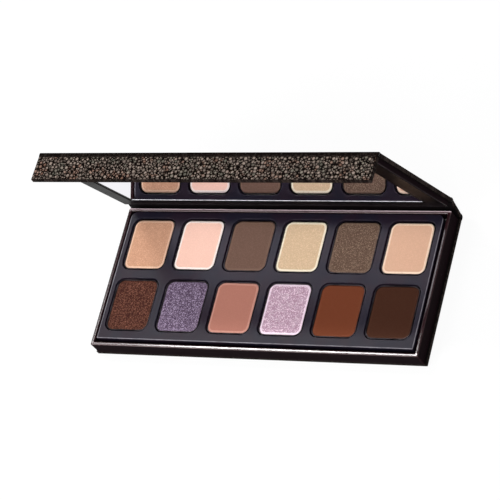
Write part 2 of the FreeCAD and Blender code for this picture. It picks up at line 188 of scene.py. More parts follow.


# Colours from 0 to 255, shares from 0 to 1, and the flake size in millimetres. A look's rim colour
# is a painted highlight on the pressed bevel.
PowderLook = namedtuple(
    "PowderLook", "colour rim rim_share mottling flake_colour flakes flake_size")
POWDERS = {
    "rear_1": PowderLook((196, 147, 118), (240, 205, 180), 0.5, 0.10, (236, 196, 170), 0.25, 0.28),
    "rear_2": PowderLook((248, 201, 182), (255, 244, 236), 0.9, 0.05, (255, 232, 222), 0.12, 0.25),
    "rear_3": PowderLook((109, 83, 71), (136, 108, 92), 0.3, 0.08, (146, 118, 104), 0.15, 0.26),
    "rear_4": PowderLook((217, 186, 151), (250, 240, 214), 0.9, 0.07, (244, 222, 190), 0.25, 0.26),
    "rear_5": PowderLook((105, 81, 69), (132, 110, 94), 0.3, 0.16, (166, 144, 118), 0.45, 0.3),
    "rear_6": PowderLook((220, 175, 147), (252, 224, 198), 0.9, 0.05, (240, 204, 178), 0.12, 0.25),
    "front_1": PowderLook((60, 28, 20), (88, 52, 40), 0.2, 0.16, (168, 108, 84), 0.42, 0.3),
    "front_2": PowderLook((94, 75, 99), (128, 110, 134), 0.3, 0.16, (206, 188, 216), 0.55, 0.32),
    "front_3": PowderLook((170, 113, 98), (206, 150, 136), 0.7, 0.05, (192, 136, 122), 0.08, 0.25),
    "front_4": PowderLook((207, 165, 188), (246, 224, 238), 0.9, 0.18, (255, 240, 250), 0.64, 0.32),
    "front_5": PowderLook((107, 54, 32), (130, 74, 52), 0.2, 0.05, (126, 72, 50), 0.08, 0.25),
    "front_6": PowderLook((62, 33, 20), (84, 54, 42), 0.2, 0.06, (86, 56, 44), 0.10, 0.25),
}


class PowderSettings(bpy.types.PropertyGroup):
    bevel: length("Bevel", "Width of the pressed bevel round a powder", 0.7)
    corner: length("Corner", "Corner radius of a powder", 3.3)
    unevenness: length("Unevenness", "Height of the soft waves in a pressed top", 0.03)


for powder_name, powder_look in POWDERS.items():
    PowderSettings.__annotations__[powder_name] = colour(
        powder_name.replace("_", " ").capitalize(), "Colour of this powder", powder_look.colour)

SETTINGS = {
    "palette_cover": CoverSettings,
    "palette_tray": TraySettings,
    "palette_insert": InsertSettings,
    "palette_powder": PowderSettings,
    "palette_mirror": MirrorSettings,
    "palette_stage": StageSettings,
}


def settings(group):
    return getattr(bpy.context.scene, "palette_" + group)


# Shader nodes

class Graph:
    """A shader node tree and the steps that fill it."""

    def __init__(self, tree):
        self.tree = tree

    def feed(self, node, inputs):
        """Link a node's inputs, or give them a value."""
        for name, source in inputs.items():
            socket = node.inputs[name]
            if isinstance(source, bpy.types.NodeSocket):
                self.tree.links.new(source, socket)
            elif socket.type == "RGBA" and len(source) == 3:
                socket.default_value = (*source, 1)
            else:
                socket.default_value = source

    def add(self, kind, inputs=None, **options):
        node = self.tree.nodes.new("ShaderNode" + kind)
        for name, option in options.items():
            setattr(node, name, option)
        self.feed(node, inputs or {})
        return node

    def maths(self, operation, *values, clamp=False):
        node = self.add("Math", dict(enumerate(values)), operation=operation, use_clamp=clamp)
        return node.outputs[0]

    def times(self, first, second):
        return self.maths("MULTIPLY", first, second)

    def plus(self, first, second, clamp=False):
        return self.maths("ADD", first, second, clamp=clamp)

    def scaled(self, value, factor, offset):
        return self.maths("MULTIPLY_ADD", value, factor, offset)

    def mix(self, factor, first, second, mode="MIX"):
        node = self.add("Mix", {0: factor, 6: first, 7: second}, data_type="RGBA", blend_type=mode)
        return node.outputs[2]

    def tinge(self, shade, tint, mask, share):
        """Lay a share of a tint over a shade, where a mask says."""
        return self.mix(self.times(mask, share), shade, tint)

    def spread(self, factor, tint, low, high):
        """A colour that varies between two multiples of a tint."""
        return self.mix(factor, *([min(1, part * share) for part in tint] for share in (low, high)))

    def step(self, value, low, high, floor=0.0, top=1.0):
        """A smooth step of a value between two limits."""
        node = self.add("MapRange", {"Value": value, "From Min": low, "From Max": high,
                                     "To Min": floor, "To Max": top},
                        interpolation_type="SMOOTHSTEP")
        return node.outputs["Result"]

    def place(self):
        return self.add("TexCoord").outputs["Object"]

    def mark(self, name):
        """A number that the mesh carries at its points."""
        return self.add("Attribute", attribute_name=name).outputs["Fac"]

    def speckle(self, vector, size, detail=2.0, roughness=0.5):
        """Noise whose blotches are about a given size, from 0 to 1."""
        node = self.add("TexNoise", {"Vector": vector, "Scale": 1 / size, "Detail": detail,
                                     "Roughness": roughness})
        return node.outputs["Fac"]

    def group(self, name, **inputs):
        """The outputs of a shared effect."""
        node = self.tree.nodes.new("ShaderNodeGroup")
        node.node_tree = bpy.data.node_groups.get(name) or make_group(name)
        self.feed(node, {socket.replace("_", " "): source for socket, source in inputs.items()})
        return node.outputs

    def paper(self, spot, size):
        """Paper fibre of a size in millimetres, and marks of handling."""
        return (self.group("Paper fibre", Place=spot, Size=size * MM),
                self.group("Handling", Place=spot))

    def shader(self, kind, inputs):
        return self.add(kind, inputs).outputs[0]

    def surface(self, height=None, depth=0.0, **inputs):
        """A Principled surface, with a bump where a height is given."""
        sockets = {name.replace("_", " "): source for name, source in inputs.items()}
        if height is not None:
            sockets["Normal"] = self.shader("Bump", {"Height": height, "Distance": depth,
                                                     "Strength": 1.0})
        self.add("OutputMaterial", {"Surface": self.shader("BsdfPrincipled", sockets)})


def fibre_group(graph, spot, size):
    """Paper fibre: a fine tooth, and a faint cloudy tone."""
    fine = graph.add("TexNoise", {"Vector": spot, "Scale": graph.maths("DIVIDE", 1.0, size),
                                  "Detail": 4.0, "Roughness": 0.65}).outputs["Fac"]
    cloud = graph.speckle(spot, 9 * MM, 3.0)
    return {"Height": fine, "Tone": graph.plus(graph.times(fine, 0.4), graph.times(cloud, 0.6))}


def handling_group(graph, spot):
    """Marks of handling: rubbed edges, smears and slow ripples."""
    broken = graph.step(graph.speckle(spot, 1.2 * MM, 4.0, 0.7), 0.42, 0.62)
    return {"Rub": graph.times(graph.mark("edge"), broken),
            "Smear": graph.step(graph.speckle(spot, 14 * MM, 4.0, 0.6), 0.45, 0.75),
            "Ripple": graph.speckle(spot, 5 * MM)}


def pebble_layer(graph, spot, scale, radius, spare):
    """One size of round pebble: its mask, its dome, its reach and three random numbers for each."""
    cell = {"Vector": spot, "Scale": scale, "Randomness": 0.85}
    joint = graph.add("TexVoronoi", cell, voronoi_dimensions="2D", feature="DISTANCE_TO_EDGE")
    centre = graph.add("TexVoronoi", cell, voronoi_dimensions="2D", feature="F1")
    worth = graph.add("SeparateColor", {"Color": centre.outputs["Color"]}).outputs
    reach = graph.scaled(worth["Red"], spare, radius)
    inside = graph.maths("SUBTRACT", reach, centre.outputs["Distance"])
    mask = graph.times(graph.step(inside, 0.0, 0.09),
                       graph.step(joint.outputs["Distance"], 0.04, 0.12))
    return mask, graph.step(inside, 0.02, 0.26), inside, worth


def pebble_group(graph, spot, size):
    """Round pebbles, large and small, with dark joints, a tone for each, and drifting tints."""
    wander = graph.add("TexNoise", {"Vector": spot, "Scale": 1 / (2.2 * MM), "Detail": 1.0})
    push = graph.add("VectorMath", {0: wander.outputs["Color"], 1: (0.5,) * 3},
                     operation="SUBTRACT").outputs[0]
    pushed = graph.add("VectorMath", {0: push, 1: (0.5 * MM,) * 3, 2: spot},
                       operation="MULTIPLY_ADD").outputs[0]
    large, large_dome, large_inside, large_worth = pebble_layer(
        graph, pushed, graph.maths("DIVIDE", 1.0, size), 0.3, 0.14)
    small, small_dome, _, small_worth = pebble_layer(
        graph, pushed, graph.maths("DIVIDE", 1.9, size), 0.36, 0.12)
    clear = graph.step(large_inside, -0.05, -0.16)
    is_large = graph.step(large_inside, -0.06, -0.04)

    def pick(of_large, of_small):
        return graph.add("Mix", {0: is_large, 2: of_small, 3: of_large}).outputs[0]

    single = graph.scaled(pick(large_worth["Blue"], small_worth["Blue"]), 0.3, -0.15)
    lean = graph.plus(graph.speckle(spot, 9 * MM, 3.0, 0.6), single)
    return {"Pebble": graph.maths("MAXIMUM", large, graph.times(small, clear)),
            "Dome": pick(large_dome, small_dome),
            "Tone": pick(large_worth["Green"], small_worth["Green"]),
            "Warm": graph.step(lean, 0.57, 0.7),
            "Cool": graph.step(lean, 0.44, 0.32)}


def powder_group(graph, spot, flake_size):
    """Pressed powder: grain, soft mottling, flakes with painted glints on a few of them, and the
    mask of the bevel edge that takes a painted highlight.
    """
    fine = graph.speckle(spot, 0.12 * MM, 3.0, 0.7)
    soft = graph.speckle(spot, 1.6 * MM, 3.0, 0.6)
    scale = graph.maths("DIVIDE", 1.0, flake_size)
    cell = graph.add("TexVoronoi", {"Vector": spot, "Scale": scale}, feature="F1")
    chance = graph.add("SeparateColor", {"Color": cell.outputs["Color"]}).outputs
    ragged = graph.step(graph.speckle(spot, 0.7 * MM, 3.0), 0.25, 0.5, 0.55, 1.0)
    return {"Height": graph.plus(graph.times(fine, 0.6), graph.times(soft, 0.4)),
            "Mottle": graph.scaled(soft, 0.5, graph.times(fine, 0.5)),
            "Flake": graph.step(chance["Red"], 0.55, 1.0),
            "Flash": graph.step(chance["Green"], 0.86, 1.0),
            "Edge": graph.times(graph.mark("edge"), ragged)}


# name: what fills the group, and the size it takes besides a place
GROUPS = {
    "Paper fibre": (fibre_group, {"Size": 0.3 * MM}),
    "Handling": (handling_group, {}),
    "Pebble print": (pebble_group, {"Size": 1.5 * MM}),
    "Pressed powder": (powder_group, {"Flake size": 0.3 * MM}),
}


def make_group(name):
    fill, sizes = GROUPS[name]
    tree = bpy.data.node_groups.new(name, "ShaderNodeTree")
    tree.interface.new_socket("Place", in_out="INPUT", socket_type="NodeSocketVector")
    for socket, size in sizes.items():
        made = tree.interface.new_socket(socket, in_out="INPUT", socket_type="NodeSocketFloat")
        made.default_value = size
    given = tree.nodes.new("NodeGroupInput").outputs
    graph = Graph(tree)
    results = fill(graph, *(given[socket] for socket in ("Place", *sizes)))
    for socket in results:
        tree.interface.new_socket(socket, in_out="OUTPUT", socket_type="NodeSocketFloat")
    graph.feed(tree.nodes.new("NodeGroupOutput"), results)
    return tree


# Finishes

def paper_finish(graph, tint, worn, rough, tooth, ripple=0.0, specular=0.5, spread=0.35, rub=0.6,
                 fibre_size=0.3, glaze=0.0, rim_highlight_tint=None, bare=None):
    """Coloured paper: fibre tooth, cloudy tone, rubbed edges, smears and slow ripples."""
    spot = graph.place()
    fibre, marks = graph.paper(spot, fibre_size)
    shade = graph.spread(fibre["Tone"], getattr(settings("tray"), tint), 1 - spread, 1 + spread)
    shade = graph.tinge(shade, worn, marks["Rub"], rub)
    dull = graph.plus(graph.scaled(marks["Smear"], 0.08, rough), graph.times(marks["Rub"], 0.2),
                      clamp=True)
    relief = graph.plus(graph.times(fibre["Height"], tooth), graph.times(marks["Ripple"], ripple))
    rim = graph.mark("rim")
    broken = graph.step(graph.speckle(spot, 3 * MM, 3.0, 0.6), 0.2, 0.5, 0.45, 1.0)
    if bare:
        # Painted highlight tint: the rim tops are lighter and pinker, most on the front and rear
        # rims.
        shade = graph.tinge(shade, rim_highlight_tint, rim, 0.5)
        # Painted highlight: a broken pale line across the back rim, where a light would be
        # reflected.
        shade = graph.tinge(shade, bare, graph.mark("bare"), broken)
    graph.surface(relief, 0.1 * MM, Base_Color=shade, Roughness=dull, Specular_IOR_Level=specular,
                  Coat_Weight=graph.times(graph.times(rim, broken), glaze), Coat_Roughness=0.13)


def printed_finish(graph, painted_crease_shade=0.0):
    """Printed pebble paper. A sheet's points carry their places on the flat print."""
    cover = settings("cover")
    spot = graph.add("Attribute", attribute_name="flat_place").outputs["Vector"]
    stones = graph.group("Pebble print", Place=spot, Size=cover.pebble_size)
    fibre, marks = graph.paper(spot, 0.2)
    tone = graph.spread(stones["Tone"], cover.pebble_colour, 0.45, 1.5)
    tone = graph.tinge(tone, cover.warm_tint, stones["Warm"], 0.4)
    tone = graph.tinge(tone, cover.cool_tint, stones["Cool"], 0.35)
    shadow = graph.mix(1.0, tone, (0.38, 0.35, 0.33), "MULTIPLY")
    tone = graph.mix(stones["Dome"], shadow, tone)
    ground = graph.spread(fibre["Tone"], cover.ground_colour, 0.6, 1.6)
    shade = graph.tinge(ground, tone, stones["Pebble"], 1 - painted_crease_shade)
    # Painted shade: round the rounded edges and by the folds the print gives way to its dark
    # ground.
    shade = graph.tinge(shade, cover.ground_colour, graph.mark("edge"), 0.97)
    shade = graph.tinge(shade, srgb(120, 104, 98), marks["Rub"], 0.12)
    rough = graph.scaled(marks["Smear"], 0.1, graph.scaled(stones["Pebble"], -0.08, 0.5))
    relief = graph.scaled(stones["Pebble"], 0.5 * (1 - painted_crease_shade), graph.times(fibre["Height"], 0.15))
    graph.surface(relief, 0.06 * MM, Base_Color=shade, Roughness=rough, Specular_IOR_Level=0.005)


def plate_finish(graph):
    """Satin charcoal card with a soft tooth and a faint plum and blue drift."""
    red, green, blue = settings("insert").plate_colour
    spot = graph.place()
    fibre, marks = graph.paper(spot, 0.25)
    drift = graph.step(graph.speckle(spot, 11 * MM), 0.35, 0.65)
    plum, slate = (red * 1.18, green * 0.92, blue), (red * 0.86, green * 1.02, blue * 1.12)
    shade = graph.mix(drift, plum, slate)
    shade = graph.mix(fibre["Tone"], graph.mix(1.0, shade, (0.95,) * 3, "MULTIPLY"), shade)
    # The lighter rubbed lips are wear, and in part a painted highlight.
    shade = graph.tinge(shade, srgb(132, 126, 134), marks["Rub"], 0.08)
    broken = graph.step(graph.speckle(spot, 5 * MM, 3.0, 0.6), 0.25, 0.6, 0.35, 0.8)
    # Painted highlight: a broken pale line along the plate's front and side edges.
    shade = graph.tinge(shade, srgb(136, 132, 140), graph.mark("edge_line"), broken)
    graph.surface(fibre["Height"], 0.002 * MM, Base_Color=shade, Specular_IOR_Level=0.12,
                  Roughness=graph.scaled(marks["Smear"], 0.03, 0.4))


def tin_finish(graph):
    """Drawn metal with fine draw lines down its walls and dull patches."""
    spot = graph.place()
    stretched = graph.shader("Mapping", {"Vector": spot, "Scale": (1, 1, 0.12)})
    draw = graph.speckle(stretched, 0.12 * MM, 3.0, 0.7)
    dull = graph.step(graph.speckle(spot, 4 * MM, 3.0), 0.4, 0.7)
    shade = graph.spread(dull, settings("insert").tin_colour, 1, 0.6)
    rough = graph.scaled(dull, 0.15, graph.scaled(draw, 0.12, 0.24))
    graph.surface(draw, 0.006 * MM, Base_Color=shade, Roughness=rough, Metallic=1.0)


def metal_finish(graph, tint, grain):
    """Plated or plain sheet metal for the magnets and their catches."""
    stretched = graph.shader("Mapping", {"Vector": graph.place(), "Scale": (0.05, 1, 1)})
    lines = graph.speckle(stretched, grain * MM, 3.0, 0.6)
    graph.surface(lines, 0.005 * MM, Base_Color=graph.spread(lines, tint, 0.75, 1),
                  Roughness=graph.scaled(lines, 0.2, 0.22), Metallic=1.0)


def glue_finish(graph):
    cloud = graph.speckle(graph.place(), 1.5 * MM, 3.0)
    shade = graph.mix(cloud, srgb(206, 200, 184), srgb(236, 232, 220))
    graph.surface(cloud, 0.03 * MM, Base_Color=shade, Roughness=graph.scaled(cloud, 0.2, 0.25),
                  Subsurface_Weight=0.2, Subsurface_Scale=1 * MM)


def foam_finish(graph):
    cells = graph.add("TexVoronoi", {"Vector": graph.place(), "Scale": 1 / (0.3 * MM)})
    depth = cells.outputs["Distance"]
    shade = graph.mix(depth, srgb(226, 226, 222), srgb(196, 196, 190))
    graph.surface(depth, 0.08 * MM, Base_Color=shade, Roughness=0.9)


def silver_finish(graph):
    """Silvered glass with the faintest smears on its face."""
    smear = graph.group("Handling", Place=graph.place())["Smear"]
    shade = graph.spread(graph.times(smear, 0.15), settings("mirror").silver_tint, 1, 0.9)
    graph.surface(Base_Color=shade, Metallic=1.0, Roughness=graph.scaled(smear, 0.015, 0.012))


def ground_glass_finish(graph):
    """The frosted edge that a glass cutter's wheel leaves."""
    chips = graph.speckle(graph.place(), 1.8 * MM, 5.0, 0.7)
    shade = graph.spread(graph.step(chips, 0.35, 0.62), settings("mirror").edge_colour, 0.55, 1)
    graph.surface(chips, 0.03 * MM, Base_Color=shade, Metallic=0.0, Specular_IOR_Level=0.8,
                  Roughness=graph.scaled(chips, 0.2, 0.2))


def powder_finish(graph, name):
    """One pressed powder: matte, satin or shimmering as its look says."""
    look = POWDERS[name]
    tint = getattr(settings("powder"), name)
    flake_colour = srgb(*look.flake_colour)
    cake = graph.group("Pressed powder", Place=graph.place(), Flake_size=look.flake_size * MM)
    shade = graph.spread(cake["Mottle"], tint, 1 - look.mottling, 1 + look.mottling)
    dark = graph.mix(1.0, shade, (1 - 0.6 * look.flakes,) * 3, "MULTIPLY")
    light = graph.mix(0.85 * look.flakes, shade, flake_colour)
    shade = graph.mix(cake["Flake"], dark, light)
    # Painted glints: a few flakes are brighter than their colour.
    painted_glint_colour = [min(1, part * 1.2 + 0.03) for part in flake_colour]
    shade = graph.tinge(shade, painted_glint_colour, cake["Flash"], 0.6 * look.flakes)
    # Painted highlight: the pressed bevel is lighter, most on the pale shades.
    shade = graph.tinge(shade, srgb(*look.rim), cake["Edge"], look.rim_share)
    graph.surface(cake["Height"], (0.02 + 0.03 * look.flakes) * MM, Base_Color=shade,
                  Roughness=graph.scaled(cake["Flake"], -0.35 * look.flakes, 0.72),
                  Metallic=graph.times(cake["Flake"], 0.2 * look.flakes), Specular_IOR_Level=0.1)


def seen_white(graph, shader, white, amount):
    """Show white to the camera, mirrors and glass, and a shader's own light to other rays."""
    rays = graph.add("LightPath").outputs
    seen = graph.maths("MAXIMUM", rays["Is Camera Ray"], graph.maths(
        "MAXIMUM", rays["Is Glossy Ray"], rays["Is Transmission Ray"]))
    return graph.shader("MixShader", {0: graph.times(seen, amount), 1: shader, 2: white})


def floor_finish(graph):
    """Pale paper that the camera sees as white."""
    tint = settings("stage").floor_colour
    shade = graph.spread(graph.speckle(graph.place(), 0.2), tint, 0.98, 1)
    plain = graph.shader("BsdfDiffuse", {"Color": shade})
    white = graph.shader("Emission", {"Color": (1, 1, 1), "Strength": 1.0})
    graph.add("OutputMaterial", {"Surface": seen_white(graph, plain, white, 0.92)})


# name: what fills the material, and with which values
FINISHES = {
    "Grey board": (paper_finish, dict(
        tint="board_colour", worn=srgb(176, 174, 168), rough=0.85, tooth=0.9, spread=0.18,
        specular=0.2, fibre_size=0.5)),
    # The wrap's lighter rubbed edges are wear, and in part a painted highlight along the rim edges.
    "Plum wrap paper": (paper_finish, dict(
        tint="wrap_colour", worn=srgb(72, 48, 52), rough=0.5, tooth=0.05, ripple=0.45,
        specular=0.003, rub=0.25, glaze=1.0, rim_highlight_tint=srgb(78, 42, 48), bare=srgb(206, 186, 192))),
    "Lining paper": (paper_finish, dict(
        tint="lining_colour", worn=srgb(60, 52, 52), rough=0.62, tooth=0.3, specular=0.04,
        rub=0.3)),
    "Gloss black paper": (paper_finish, dict(
        tint="frame_colour", worn=srgb(48, 42, 46), rough=0.33, tooth=0.01, ripple=0.06,
        specular=0.03, rub=0.05)),
    "Printed paper": (printed_finish, {}),
    "Crease paper": (printed_finish, {"painted_crease_shade": 0.95}),
    "Satin charcoal": (plate_finish, {}),
    "Pan tin": (tin_finish, {}),
    "Magnet nickel": (metal_finish, {"tint": srgb(200, 198, 194), "grain": 0.2}),
    "Catch steel": (metal_finish, {"tint": srgb(172, 172, 174), "grain": 0.15}),
    "Clear glue": (glue_finish, {}),
    "Foam tape": (foam_finish, {}),
    "Mirror silver": (silver_finish, {}),
    "Ground glass": (ground_glass_finish, {}),
    "Pale floor": (floor_finish, {}),
    **{f"Powder {name.replace('_', ' ')}": (powder_finish, {"name": name}) for name in POWDERS},
}


def finish(name):
    """The material of this name, made when it is first asked for."""
    material = bpy.data.materials.get(name)
    if not material:
        material = bpy.data.materials.new(name)
        material.use_nodes = True
        material.node_tree.nodes.clear()
        fill, look = FINISHES[name]
        fill(Graph(material.node_tree), **look)
    return material


# Mesh helpers

def box_between(low, high):
    """A closed box in a new bmesh, from its lowest to its highest corner."""
    bm = bmesh.new()
    middle = Matrix.Translation((low + high) / 2)
    bmesh.ops.create_cube(bm, size=1, matrix=middle @ Matrix.Diagonal((*(high - low), 1)))
    return bm


def flat_face(bm, low, high, z):
    """One level rectangle, facing up."""
    middle = Vector(((low[0] + high[0]) / 2, (low[1] + high[1]) / 2, z))
    size = Matrix.Diagonal((high[0] - low[0], high[1] - low[1], 1, 1))
    made = bmesh.ops.create_grid(bm, x_segments=1, y_segments=1, size=0.5,
                                 matrix=Matrix.Translation(middle) @ size)
    return made["verts"][0].link_faces[0]


def ring_between(bm, outer, inner):
    """Swap two flat faces for the ring of faces between them."""
    loops = [*outer.edges, *inner.edges]
    bmesh.ops.delete(bm, geom=[outer, inner], context="FACES_ONLY")
    bmesh.ops.bridge_loops(bm, edges=loops)


def face_out(bm):
    bmesh.ops.recalc_face_normals(bm, faces=bm.faces)


def shift(bm, made, by):
    """Move the points that an extrusion has made."""
    points = [part for part in made["geom"] if isinstance(part, bmesh.types.BMVert)]
    bmesh.ops.translate(bm, vec=by, verts=points)


def grow(bm, by):
    """Extrude all faces, and keep the first ones to close the far end."""
    shift(bm, bmesh.ops.extrude_face_region(bm, geom=list(bm.faces), use_keep_orig=True), by)


def cut(bm, point, normal, parts=None):
    """Cut every face, or only some parts, along a plane."""
    bmesh.ops.bisect_plane(bm, geom=parts or bm.verts[:] + bm.edges[:] + bm.faces[:], dist=1e-7,
                           plane_co=point, plane_no=normal)


def cut_across(bm, depths):
    """Cut every face at some depths, front to back."""
    for depth in depths:
        cut(bm, (0, depth, 0), Y_AXIS)


def inset(bm, faces, width):
    bmesh.ops.inset_region(bm, faces=faces, thickness=width, use_even_offset=True,
                           use_boundary=True)


def bevel(bm, parts, width, segments, affect="EDGES", clamp=False):
    return bmesh.ops.bevel(bm, geom=parts, offset=width, offset_type="OFFSET", segments=segments,
                           profile=0.5, affect=affect, clamp_overlap=clamp, material=-1)


def folded_edges(bm, least=0.5):
    """Edges where two faces meet at more than an angle."""
    return [e for e in bm.edges if len(e.link_faces) == 2 and e.calc_face_angle(0) > least]


def soften(bm, edges, radius, segments):
    """Round some edges, and mark the new faces as edge for the materials."""
    rounded = set(bevel(bm, edges, radius, segments, clamp=True)["faces"])
    layer = bm.verts.layers.float.get("edge") or bm.verts.layers.float.new("edge")
    for vertex in {vertex for face in rounded for vertex in face.verts}:
        vertex[layer] = 1.0
    flats = [face for face in set(bm.faces) - rounded
             if any(vertex[layer] for vertex in face.verts) and face.calc_area() > radius ** 2]
    inset(bm, flats, 0.12 * MM)
    for vertex in {vertex for face in flats for vertex in face.verts}:
        vertex[layer] = 0.0


def thicken(bm, thickness, outward):
    """Give an open sheet its thickness, away from the side that outward points to."""
    bm.normal_update()
    if sum(face.normal.dot(outward(face)) * face.calc_area() for face in bm.faces) < 0:
        bmesh.ops.reverse_faces(bm, faces=bm.faces)
    bmesh.ops.solidify(bm, geom=list(bm.faces), thickness=thickness)
    face_out(bm)


def lay_flat(bm, run, lean=0.0):
    """Store each point's place on the flat sheet. Run is how far along it the piece starts."""
    layer = bm.verts.layers.float_vector.new("flat_place")
    for vertex in bm.verts:
        vertex[layer] = (vertex.co.x, vertex.co.y + run + lean * vertex.co.z, 0)


def place_piece(bm, name, finishes, replaced=(), body=None, panel=LEVEL):
    """Turn a bmesh into a finished piece in the CAD frame, riding on its body."""
    bmesh.ops.transform(bm, matrix=panel, verts=bm.verts)
    face_out(bm)
    mesh = bpy.data.meshes.new(name)
    bm.to_mesh(mesh)
    bm.free()
    for material in map(finish, finishes):
        mesh.materials.append(material)
    mesh.shade_smooth()
    mesh.set_sharp_from_angle(angle=math.radians(40))
    piece = bpy.data.objects.new(name, mesh)
    bpy.context.scene.collection.objects.link(piece)
    weigh = piece.modifiers.new("Even shading", "WEIGHTED_NORMAL")
    weigh.keep_sharp = True
    if body:
        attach(piece, body)
    if replaced:
        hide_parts(*replaced)
    return piece


def paint(nodes, name):
    """Give some CAD nodes a finish in place of their plain one."""
    for node in nodes:
        slots = NODES[node].data.materials
        slots.clear()
        slots.append(finish(name))


# Pieces

class PALETTE_OT_boards(bpy.types.Operator):
    """Finish the boards, linings, magnets, glue and tape that the papers cover"""
    bl_idname = "palette.boards"
    bl_label = "Boards and linings"

    NODES_BY_FINISH = {
        "Grey board": ("base_board", "spine_board", "lid_board", "flap_board", "tray_front_wall",
                       "tray_back_wall", "tray_left_wall", "tray_right_wall", "pan_bed",
                       "lid_frame"),
        "Lining paper": ("base_lining", "spine_lining", "lid_lining", "flap_lining"),
        "Magnet nickel": ("flap_magnets",),
        "Catch steel": ("catch_plates",),
        "Clear glue": ("glue_dots",),
        "Foam tape": ("mirror_tape",),
    }

    def execute(self, context):
        for name, nodes in self.NODES_BY_FINISH.items():
            paint(nodes, name)
        return {"FINISHED"}


class PALETTE_OT_covers(bpy.types.Operator):
    """Model the printed paper that covers the four panels"""
    bl_idname = "palette.covers"
    bl_label = "Cover papers"

    # panel: whether its start and its end run into a fold and so stay open
    OPEN_ENDS = {"base": (False, True), "spine": (True, True), "lid": (True, True),
                 "flap": (True, False)}
    # how far from a fold the print begins and ends its fade into the dark ground, a painted crease
    # shade
    CREASE_SHADE_FADE = (0.6 * MM, 0.7 * MM)

    def execute(self, context):
        cover = settings("cover")
        run = 0.0
        for panel, (open_start, open_end) in self.OPEN_ENDS.items():
            node = f"{panel}_cover_paper"
            low, high = extent(node, PANELS[panel])
            bm = box_between(low, high)
            dropped = [face for face in bm.faces
                       if face.normal.z > 0.5 or (open_start and face.normal.y < -0.5)
                       or (open_end and face.normal.y > 0.5)]
            bmesh.ops.delete(bm, geom=dropped, context="FACES")
            soften(bm, folded_edges(bm), cover.edge_radius, 4)
            ends = [end for end, is_open in ((low.y, open_start), (high.y, open_end)) if is_open]
            for end in ends:
                inward = 1 if end == low.y else -1
                cut_across(bm, [end + inward * margin for margin in self.CREASE_SHADE_FADE])
            layer = bm.verts.layers.float.get("edge")
            # The edge mark also paints the rounded edges and the bands by the folds dark, as
            # painted shade.
            for vertex in bm.verts:
                in_crease_shade = any(abs(vertex.co.y - end) < sum(self.CREASE_SHADE_FADE) / 2 for end in ends)
                if in_crease_shade or vertex.co.z > low.z + cover.edge_radius * 0.9:
                    vertex[layer] = 1.0
            middle = (low + high) / 2 + Vector((0, 0, HALF))
            thicken(bm, cover.paper, lambda face: face.calc_center_median() - middle)
            lay_flat(bm, run - low.y)
            run += high.y - low.y
            place_piece(bm, f"printed_cover_{panel}", ["Printed paper"], [node],
                        panel, PANELS[panel])
        return {"FINISHED"}


class Fold:
    """One fold: its axis, the turn between its panels, and both panels' directions."""

    def __init__(self, axis, angle_a, angle_b, body_a, body_b):
        self.axis, self.turn, self.bodies = axis, angle_b - angle_a, (body_a, body_b)
        turns = [Matrix.Rotation(angle, 3, "X") for angle in (angle_a, angle_b)]
        self.along = [turn @ Y_AXIS for turn in turns]
        self.inward = [turn @ Z_AXIS for turn in turns]


